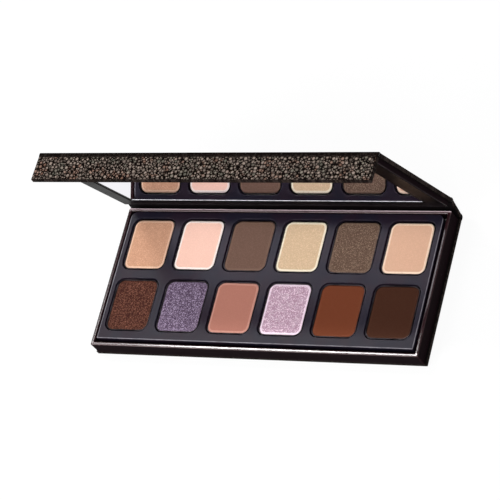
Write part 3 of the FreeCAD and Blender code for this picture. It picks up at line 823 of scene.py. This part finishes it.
class PALETTE_OT_folds(bpy.types.Operator):
    """Model the paper bent round the three folds, outside and inside"""
    bl_idname = "palette.folds"
    bl_label = "Folds"

    FOLDS = {
        "base_spine_crease": Fold(FOLD_A, 0.0, SPINE_ANGLE, "base", "spine"),
        "spine_lid_crease": Fold(FOLD_B, SPINE_ANGLE, LID_ANGLE, "spine", "lid"),
        "lid_flap_crease": Fold(FOLD_C, LID_ANGLE, FLAP_ANGLE, "lid", "flap"),
    }
    STEPS = 14  # faces round a bend
    LEAD = HALF + 0.1 * MM  # how far a bent paper reaches onto each panel
    VALLEY = HALF * 0.78  # how deep the lining is pressed in
    CORE_RADIUS = 0.52 * MM
    CORE_SHARE = 0.9985  # of the case's width

    def execute(self, context):
        for node, fold in self.FOLDS.items():
            self.bend_cover(node, fold)
            self.press_lining(node, fold)
            self.roll_core(node, fold)
        return {"FINISHED"}

    def bend_cover(self, node, fold):
        """The printed paper round the outside of a fold."""
        foot_a, foot_b = (fold.axis - inward * HALF for inward in fold.inward)
        bm = bmesh.new()
        edge = bm.edges.new([bm.verts.new(foot_a + side * CASE_SIDE) for side in (-1, 1)])
        swept = bmesh.ops.spin(bm, geom=[edge, *edge.verts], cent=fold.axis, axis=X_AXIS,
                               angle=fold.turn, steps=self.STEPS, use_merge=False)
        last = [part for part in swept["geom_last"] if isinstance(part, bmesh.types.BMEdge)]
        for edges, along in (([edge], -fold.along[0]), (last, fold.along[1])):
            shift(bm, bmesh.ops.extrude_edge_only(bm, edges=edges), along * self.LEAD)
        face_out(bm)
        thicken(bm, settings("cover").paper,
                lambda face: face.calc_center_median() * Vector((0, 1, 1)) - fold.axis)
        lay_flat(bm, 0.0, lean=1.0)
        # Its print is almost all dark ground: painted shade in the crease.
        piece = place_piece(bm, node + "_cover", ["Crease paper"], [node])
        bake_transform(piece)

    def press_lining(self, node, fold):
        """The lining paper pressed into the inside of a fold."""
        (along_a, along_b), (inward_a, inward_b) = fold.along, fold.inward
        start = fold.axis - along_a * self.LEAD + inward_a * HALF
        end = fold.axis + along_b * self.LEAD + inward_b * HALF
        valley = fold.axis + (inward_a + inward_b).normalized() * self.VALLEY
        bm = bmesh.new()
        rows = [[bm.verts.new(spot + side * CASE_SIDE) for side in (-1, 1)]
                for spot in (start, valley, end)]
        for first, second in zip(rows, rows[1:]):
            bm.faces.new([*first, *reversed(second)])
        bm.normal_update()
        bevel(bm, [e for e in bm.edges if len(e.link_faces) == 2], 0.3 * MM, 4, clamp=True)
        face_out(bm)
        thicken(bm, settings("tray").paper, lambda face: inward_a + inward_b)
        piece = place_piece(bm, node + "_lining", ["Lining paper"])
        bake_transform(piece)

    def roll_core(self, node, fold):
        """The turned-in paper that fills a fold, seen only at its two ends."""
        bm = bmesh.new()
        reach = CASE_SIDE * self.CORE_SHARE
        turn = Matrix.Rotation(math.pi / 2, 4, "Y")
        bmesh.ops.create_circle(bm, cap_ends=True, segments=20, radius=self.CORE_RADIUS,
                                matrix=Matrix.Translation(fold.axis - reach) @ turn)
        grow(bm, reach * 2)
        ends = [e for e in bm.edges if any(len(f.verts) > 4 for f in e.link_faces)]
        soften(bm, ends, 0.12 * MM, 2)
        place_piece(bm, node + "_core", ["Lining paper"], body=fold.bodies[0])


def paint_highlight_line(bm, start, end, top, fade=0.08 * MM):
    """Mark a line across a rim, between two depths, for a painted highlight."""
    cut_across(bm, (start - fade, start, end, end + fade))
    layer = bm.verts.layers.float.new("bare")
    for vertex in bm.verts:
        across = start - fade / 2 < vertex.co.y < end + fade / 2
        vertex[layer] = float(across and vertex.co.z > top)


# Side rims get this share of the front and rear rims' gloss and of their painted highlight tint.
SIDE_POLISH = 0.4  # of the front and rear rims' polish


def paper_ring(low, high, window_low, window_high, radius, paper, painted_highlight_line=None):
    """Thin paper over a frame of boards: outer sides, top and window sides, with rounded edges."""
    bm = bmesh.new()
    ring_between(bm, flat_face(bm, low, high, high.z),
                 flat_face(bm, window_low, window_high, high.z))
    rims = [e for e in bm.edges if len(e.link_faces) == 1]
    shift(bm, bmesh.ops.extrude_edge_only(bm, edges=rims), (0, 0, low.z - high.z))
    face_out(bm)
    soften(bm, folded_edges(bm), radius, 4)
    cut_across(bm, (window_low.y, window_low.y + radius, window_high.y - radius, window_high.y))
    layer = bm.verts.layers.float.new("rim")
    for vertex in bm.verts:
        beside = window_low.y + radius / 2 < vertex.co.y < window_high.y - radius / 2
        on_top = vertex.co.z > high.z - radius * 0.8
        vertex[layer] = on_top * (SIDE_POLISH if beside else 1.0)
    # A pale band across the back rim is a painted highlight.
    if painted_highlight_line:
        width = high.y - window_high.y
        paint_highlight_line(bm, *(window_high.y + part * width for part in painted_highlight_line), high.z - radius / 3)
    thicken(bm, paper, lambda face: Z_AXIS)
    return bm


class PALETTE_OT_tray(bpy.types.Operator):
    """Model the glossy plum paper wrapped round the tray's walls"""
    bl_idname = "palette.tray"
    bl_label = "Tray"

    def execute(self, context):
        tray = settings("tray")
        low, high = extent("tray_wrap_paper")
        wall = extent("tray_left_wall")[1].x - low.x + tray.paper
        inside = Vector((wall, wall, 0))
        bm = paper_ring(low, high, low + inside, high - inside, tray.edge_radius, tray.paper,
                        painted_highlight_line=(0.5, 0.88))
        place_piece(bm, "tray_wrap", ["Plum wrap paper"], ["tray_wrap_paper"],
                    "base")
        return {"FINISHED"}


class PALETTE_OT_insert(bpy.types.Operator):
    """Model the insert plate, with a rounded lip at each of its twelve pan windows"""
    bl_idname = "palette.insert"
    bl_label = "Insert plate"

    def execute(self, context):
        plate = settings("insert")
        low, high = extent("insert_plate")
        gap = Vector((plate.pan_gap, plate.pan_gap, 0))
        windows = {}
        for row, column in PLACES:
            pan_low, pan_high = extent(f"pan_{row}_{column}")
            windows[row, column] = (pan_low - gap, pan_high + gap)
        between = [(windows["rear", column][1].x + windows["rear", column + 1][0].x) / 2
                   for column in COLUMNS[:-1]]
        xs = [low.x, *between, high.x]
        middle = (windows["front", 1][1].y + windows["rear", 1][0].y) / 2
        ys = {"front": (low.y, middle), "rear": (middle, high.y)}
        bm = bmesh.new()
        for (row, column), window in windows.items():
            near, far = ys[row]
            self.tile(bm, (xs[column - 1], near), (xs[column], far), *window, high.z,
                      plate.window_corner)
        bmesh.ops.remove_doubles(bm, verts=bm.verts, dist=TINY)
        face_out(bm)
        thicken(bm, high.z - low.z, lambda face: Z_AXIS)
        posts = [e for e in bm.edges if all(self.at_corner(v.co, low, high) for v in e.verts)]
        centre = (low.y + high.y) / 2
        rear = [post for post in posts if post.verts[0].co.y > centre]
        front = [post for post in posts if post.verts[0].co.y < centre]
        bevel(bm, rear, plate.rear_corner, 8)
        bevel(bm, front, plate.front_corner, 8)
        bm.normal_update()
        lips = [e for e in folded_edges(bm, 1.2) if all(v.co.z > high.z - 1e-5 for v in e.verts)]
        soften(bm, lips, plate.lip_radius, 3)
        self.mark_plate_highlight_line(bm, low, high, plate.edge_line)
        place_piece(bm, "insert", ["Satin charcoal"], ["insert_plate"], "base")
        return {"FINISHED"}

    @staticmethod
    def at_corner(spot, low, high):
        return all(min(abs(spot[axis] - low[axis]), abs(spot[axis] - high[axis])) < TINY
                   for axis in (0, 1))

    @staticmethod
    def mark_plate_highlight_line(bm, low, high, width, fade=0.1 * MM):
        """Mark the painted highlight line just inside the plate's front and side edges."""
        for reach in (width, width + fade):
            cut(bm, (0, low.y + reach, 0), Y_AXIS)
            cut(bm, (low.x + reach, 0, 0), X_AXIS)
            cut(bm, (high.x - reach, 0, 0), -X_AXIS)
        layer = bm.verts.layers.float.new("edge_line")
        for vertex in bm.verts:
            x, y, z = vertex.co
            depth = min(y - low.y, x - low.x, high.x - x)
            vertex[layer] = float(depth < width + fade / 2 and z > high.z - TINY)

    @staticmethod
    def tile(bm, tile_low, tile_high, window_low, window_high, level, corner):
        """The part of the plate round one window."""
        outer = flat_face(bm, tile_low, tile_high, level)
        inner = flat_face(bm, window_low, window_high, level)
        made = bevel(bm, list(inner.verts), corner, 10, "VERTICES")
        ring_between(bm, outer, made["verts"][0].link_faces[0])


class PALETTE_OT_pans(bpy.types.Operator):
    """Finish the twelve metal pans"""
    bl_idname = "palette.pans"
    bl_label = "Pans"

    def execute(self, context):
        paint([f"pan_{row}_{column}" for row, column in PLACES], "Pan tin")
        return {"FINISHED"}


class PALETTE_OT_powders(bpy.types.Operator):
    """Model the twelve pressed powders"""
    bl_idname = "palette.powders"
    bl_label = "Powders"

    LEVEL_FACE = 0.99  # least upward part of a level face's normal
    CELLS = 14  # cells along each side of a pressed top
    WAVE = 6 * MM
    SEED_STEP = 7.3  # keeps the waves of two powders apart

    def execute(self, context):
        for seed, name in enumerate(POWDERS):
            self.press(name, seed)
        return {"FINISHED"}

    def press(self, name, seed):
        """A cake with rounded corners, a pressed bevel and a slightly uneven top."""
        powder = settings("powder")
        node = f"powder_{name}"
        low, high = extent(node)
        bm = bmesh.new()
        bevel(bm, list(flat_face(bm, low, high, low.z).verts), powder.corner, 8, "VERTICES")
        shoulder = high.z - powder.bevel / 2
        grow(bm, (0, 0, shoulder - low.z))
        face_out(bm)
        top = max(bm.faces, key=lambda f: f.calc_center_median().z)
        inset(bm, [top], powder.bevel)
        bmesh.ops.translate(bm, vec=(0, 0, powder.bevel / 2), verts=top.verts)
        layer = bm.verts.layers.float.new("edge")
        for vertex in bm.verts:
            vertex[layer] = float(vertex.co.z > shoulder - TINY)
        bevel(bm, list(top.edges), 0.18 * MM, 2, clamp=True)
        top = max(bm.faces, key=lambda f: f.calc_area() * (f.normal.z > self.LEVEL_FACE))
        inset(bm, [top], 0.35 * MM)
        for vertex in top.verts:
            vertex[layer] = 0.0
        self.cut_top(bm, low, high)
        for vertex in bm.verts:
            level = all(f.normal.z > self.LEVEL_FACE for f in vertex.link_faces)
            if level and vertex.co.z > shoulder + TINY:
                spot = (vertex.co.x / self.WAVE, vertex.co.y / self.WAVE, seed * self.SEED_STEP)
                vertex.co.z += powder.unevenness * (noise.noise(Vector(spot)) - 0.5)
        place_piece(bm, f"cake_{name}", [f"Powder {name.replace('_', ' ')}"], [node], "base")

    def cut_top(self, bm, low, high):
        """Cut the level top into cells, so that it can wave."""
        for axis in (0, 1):
            for cell in range(1, self.CELLS):
                spot, normal = Vector(), Vector()
                spot[axis] = low[axis] + (high[axis] - low[axis]) * cell / self.CELLS
                normal[axis] = 1
                faces = [f for f in bm.faces if f.normal.z > self.LEVEL_FACE
                         and f.calc_center_median().z > high.z - 0.02 * MM]
                cut(bm, spot, normal, list({p for f in faces for p in (f, *f.edges, *f.verts)}))


class PALETTE_OT_mirror(bpy.types.Operator):
    """Model the papered mirror frame, the silvered glass and its ground edge"""
    bl_idname = "palette.mirror"
    bl_label = "Mirror"

    def execute(self, context):
        tray, glass = settings("tray"), settings("mirror")
        lid = PANELS["lid"]
        low, high = extent("lid_frame_paper", lid)
        glass_low, glass_high = extent("mirror", lid)
        gap = Vector((0.2, 0.2, 0)) * MM
        bm = paper_ring(low, high, glass_low - gap, glass_high + gap, tray.edge_radius, tray.paper)
        self.wrap_sides(bm, low, high)
        place_piece(bm, "mirror_frame_paper", ["Gloss black paper", "Plum wrap paper"],
                    ["lid_frame_paper"], "lid", lid)
        edge = Vector((glass.painted_shade_margin, glass.ground_edge, 0))
        bm = box_between(glass_low + edge, glass_high - edge - glass.silver_depth * Z_AXIS)
        soften(bm, folded_edges(bm), 0.05 * MM, 2)
        place_piece(bm, "mirror_silver", ["Mirror silver"], ["mirror"], "lid", lid)
        bm = self.ground_ring(glass_low, glass_high, edge)
        place_piece(bm, "mirror_ground_edge", ["Ground glass", "Gloss black paper"],
                    body="lid", panel=lid)
        return {"FINISHED"}

    @staticmethod
    def wrap_sides(bm, low, high):
        """Give the frame's outer sides its second finish."""
        middle, half = (low + high) / 2, (high - low) / 2
        bm.normal_update()
        for face in bm.faces:
            beyond = face.calc_center_median() - middle
            outer = any(abs(beyond[axis]) > half[axis] - 0.6 * MM for axis in (0, 1))
            face.material_index = int(outer and face.normal.z < 0.5)

    @staticmethod
    def ground_ring(low, high, edge):
        """A closed ring with the glass's outline and thickness. Its ends take a second finish, the
        black paper of a painted shade.
        """
        bm = bmesh.new()
        ring_between(bm, flat_face(bm, low, high, high.z),
                     flat_face(bm, low + edge, high - edge, high.z))
        grow(bm, (0, 0, low.z - high.z))
        face_out(bm)
        soften(bm, folded_edges(bm), 0.04 * MM, 2)
        for face in bm.faces:
            x = face.calc_center_median().x
            face.material_index = int(min(x - low.x, high.x - x) < edge.x + TINY)
        return bm


# Stage

CAMERA_AZIMUTH, CAMERA_ELEVATION, CAMERA_ROLL = (math.radians(turn)
                                                 for turn in (51.09, 51.03, 42.96))
CAMERA_DISTANCE = 1142.0 * MM
CAMERA_TARGET = Vector((5.51, -1.53, 37.51)) * MM
CAMERA_LENS = 194.4
FLOOR_REACH = 3
CEILING = (0.45, 0.85)  # heights of a ray between which the room dims


def add_object(name, data, context):
    thing = bpy.data.objects.new(name, data)
    context.scene.collection.objects.link(thing)
    return thing


class PALETTE_OT_stage(bpy.types.Operator):
    """Set up the floor, the lamps, the room and the camera"""
    bl_idname = "palette.stage"
    bl_label = "Stage"

    def execute(self, context):
        self.floor(context)
        self.room(context)
        self.lamps(context)
        self.camera(context)
        return {"FINISHED"}

    @staticmethod
    def floor(context):
        bm = bmesh.new()
        flat_face(bm, (-FLOOR_REACH, -FLOOR_REACH), (FLOOR_REACH, FLOOR_REACH), -0.05 * MM)
        mesh = bpy.data.meshes.new("floor")
        bm.to_mesh(mesh)
        bm.free()
        floor = add_object("floor", mesh, context)
        mesh.materials.append(finish("Pale floor"))

    @staticmethod
    def room(context):
        world = bpy.data.worlds.new("Room")
        context.scene.world = world
        world.use_nodes = True
        world.node_tree.nodes.clear()
        graph = Graph(world.node_tree)
        room = graph.shader("Background", {"Color": (1, 1, 1),
                                           "Strength": settings("stage").world_strength})
        height = graph.add("SeparateXYZ", {0: graph.place()}).outputs["Z"]
        glossy = graph.add("LightPath").outputs["Is Glossy Ray"]
        dim = graph.times(graph.step(height, *CEILING, 0.0, 0.65), glossy)
        white = graph.shader("Background", {"Color": (1, 1, 1),
                                            "Strength": graph.maths("SUBTRACT", 1.0, dim)})
        graph.add("OutputWorld", {"Surface": seen_white(graph, room, white, 1.0)})

    @staticmethod
    def lamp(context, name, place, aim, size, energy, along_y=False):
        """A rectangular lamp that faces a point. Along Y, its long side lies across the case."""
        light = bpy.data.lights.new(name, "AREA")
        light.shape = "RECTANGLE"
        light.size, light.size_y = size
        light.energy = energy
        lamp = add_object(name, light, context)
        lamp.location = place
        lamp.rotation_mode = "QUATERNION"
        back = (Vector(place) - Vector(aim)).normalized()
        turn = (-back).to_track_quat("-Z", "Y")
        if along_y:
            side = Y_AXIS.cross(back).normalized()
            turn = Matrix((side, back.cross(side), back)).transposed().to_quaternion()
        lamp.rotation_quaternion = turn

    def lamps(self, context):
        stage, base = settings("stage"), (0, 0, 0.02)
        self.lamp(context, "front_rim_card", (-0.50, 0.36, 0.95), base, (0.26, 0.08),
                  stage.key_power, along_y=True)
        self.lamp(context, "left_rim_card", (-0.70, 0.36, 0.95), base, (0.14, 0.08),
                  stage.card_power, along_y=True)
        self.lamp(context, "front_left_card", (-0.64, -0.80, 0.72), base, (0.5, 0.5),
                  stage.side_power)
        self.lamp(context, "front_softbox", (0.75, -0.75, 1.05), (0, 0, 0.03), (1.0, 1.0),
                  stage.fill_power)

    @staticmethod
    def camera(context):
        lens = bpy.data.cameras.new("camera")
        lens.lens, lens.sensor_width = CAMERA_LENS, 36
        lens.clip_start, lens.clip_end = 0.01, 20
        camera = add_object("camera", lens, context)
        level = math.cos(CAMERA_ELEVATION)
        back = Vector((math.sin(CAMERA_AZIMUTH) * level, -math.cos(CAMERA_AZIMUTH) * level,
                       math.sin(CAMERA_ELEVATION)))
        camera.location = CAMERA_TARGET + back * CAMERA_DISTANCE
        camera.rotation_mode = "QUATERNION"
        roll = Matrix.Rotation(-CAMERA_ROLL, 3, "Z").to_quaternion()
        camera.rotation_quaternion = (-back).to_track_quat("-Z", "Y") @ roll
        context.scene.camera = camera
        context.scene.view_settings.view_transform = "Standard"


OPERATORS = (PALETTE_OT_boards, PALETTE_OT_covers, PALETTE_OT_folds, PALETTE_OT_tray,
             PALETTE_OT_insert, PALETTE_OT_pans, PALETTE_OT_powders, PALETTE_OT_mirror,
             PALETTE_OT_stage)


class PALETTE_PT_sidebar(bpy.types.Panel):
    bl_idname = "PALETTE_PT_sidebar"
    bl_label = "Eyeshadow palette"
    bl_space_type = "VIEW_3D"
    bl_region_type = "UI"
    bl_category = "Palette"

    def draw(self, context):
        for operator in OPERATORS:
            self.layout.operator(operator.bl_idname)
        for name, group in SETTINGS.items():
            box = self.layout.box()
            for setting in group.__annotations__:
                box.prop(getattr(context.scene, name), setting)


CLASSES = (*SETTINGS.values(), *OPERATORS, PALETTE_PT_sidebar)


def register():
    for cls in CLASSES:
        bpy.utils.register_class(cls)
    for name, group in SETTINGS.items():
        setattr(bpy.types.Scene, name, PointerProperty(type=group))


def unregister():
    for name in SETTINGS:
        delattr(bpy.types.Scene, name)
    for cls in reversed(CLASSES):
        bpy.utils.unregister_class(cls)


def main():
    register()
    for operator in OPERATORS:
        group, name = operator.bl_idname.split(".")
        getattr(getattr(bpy.ops, group), name)()


if __name__ == "__main__":
    main()
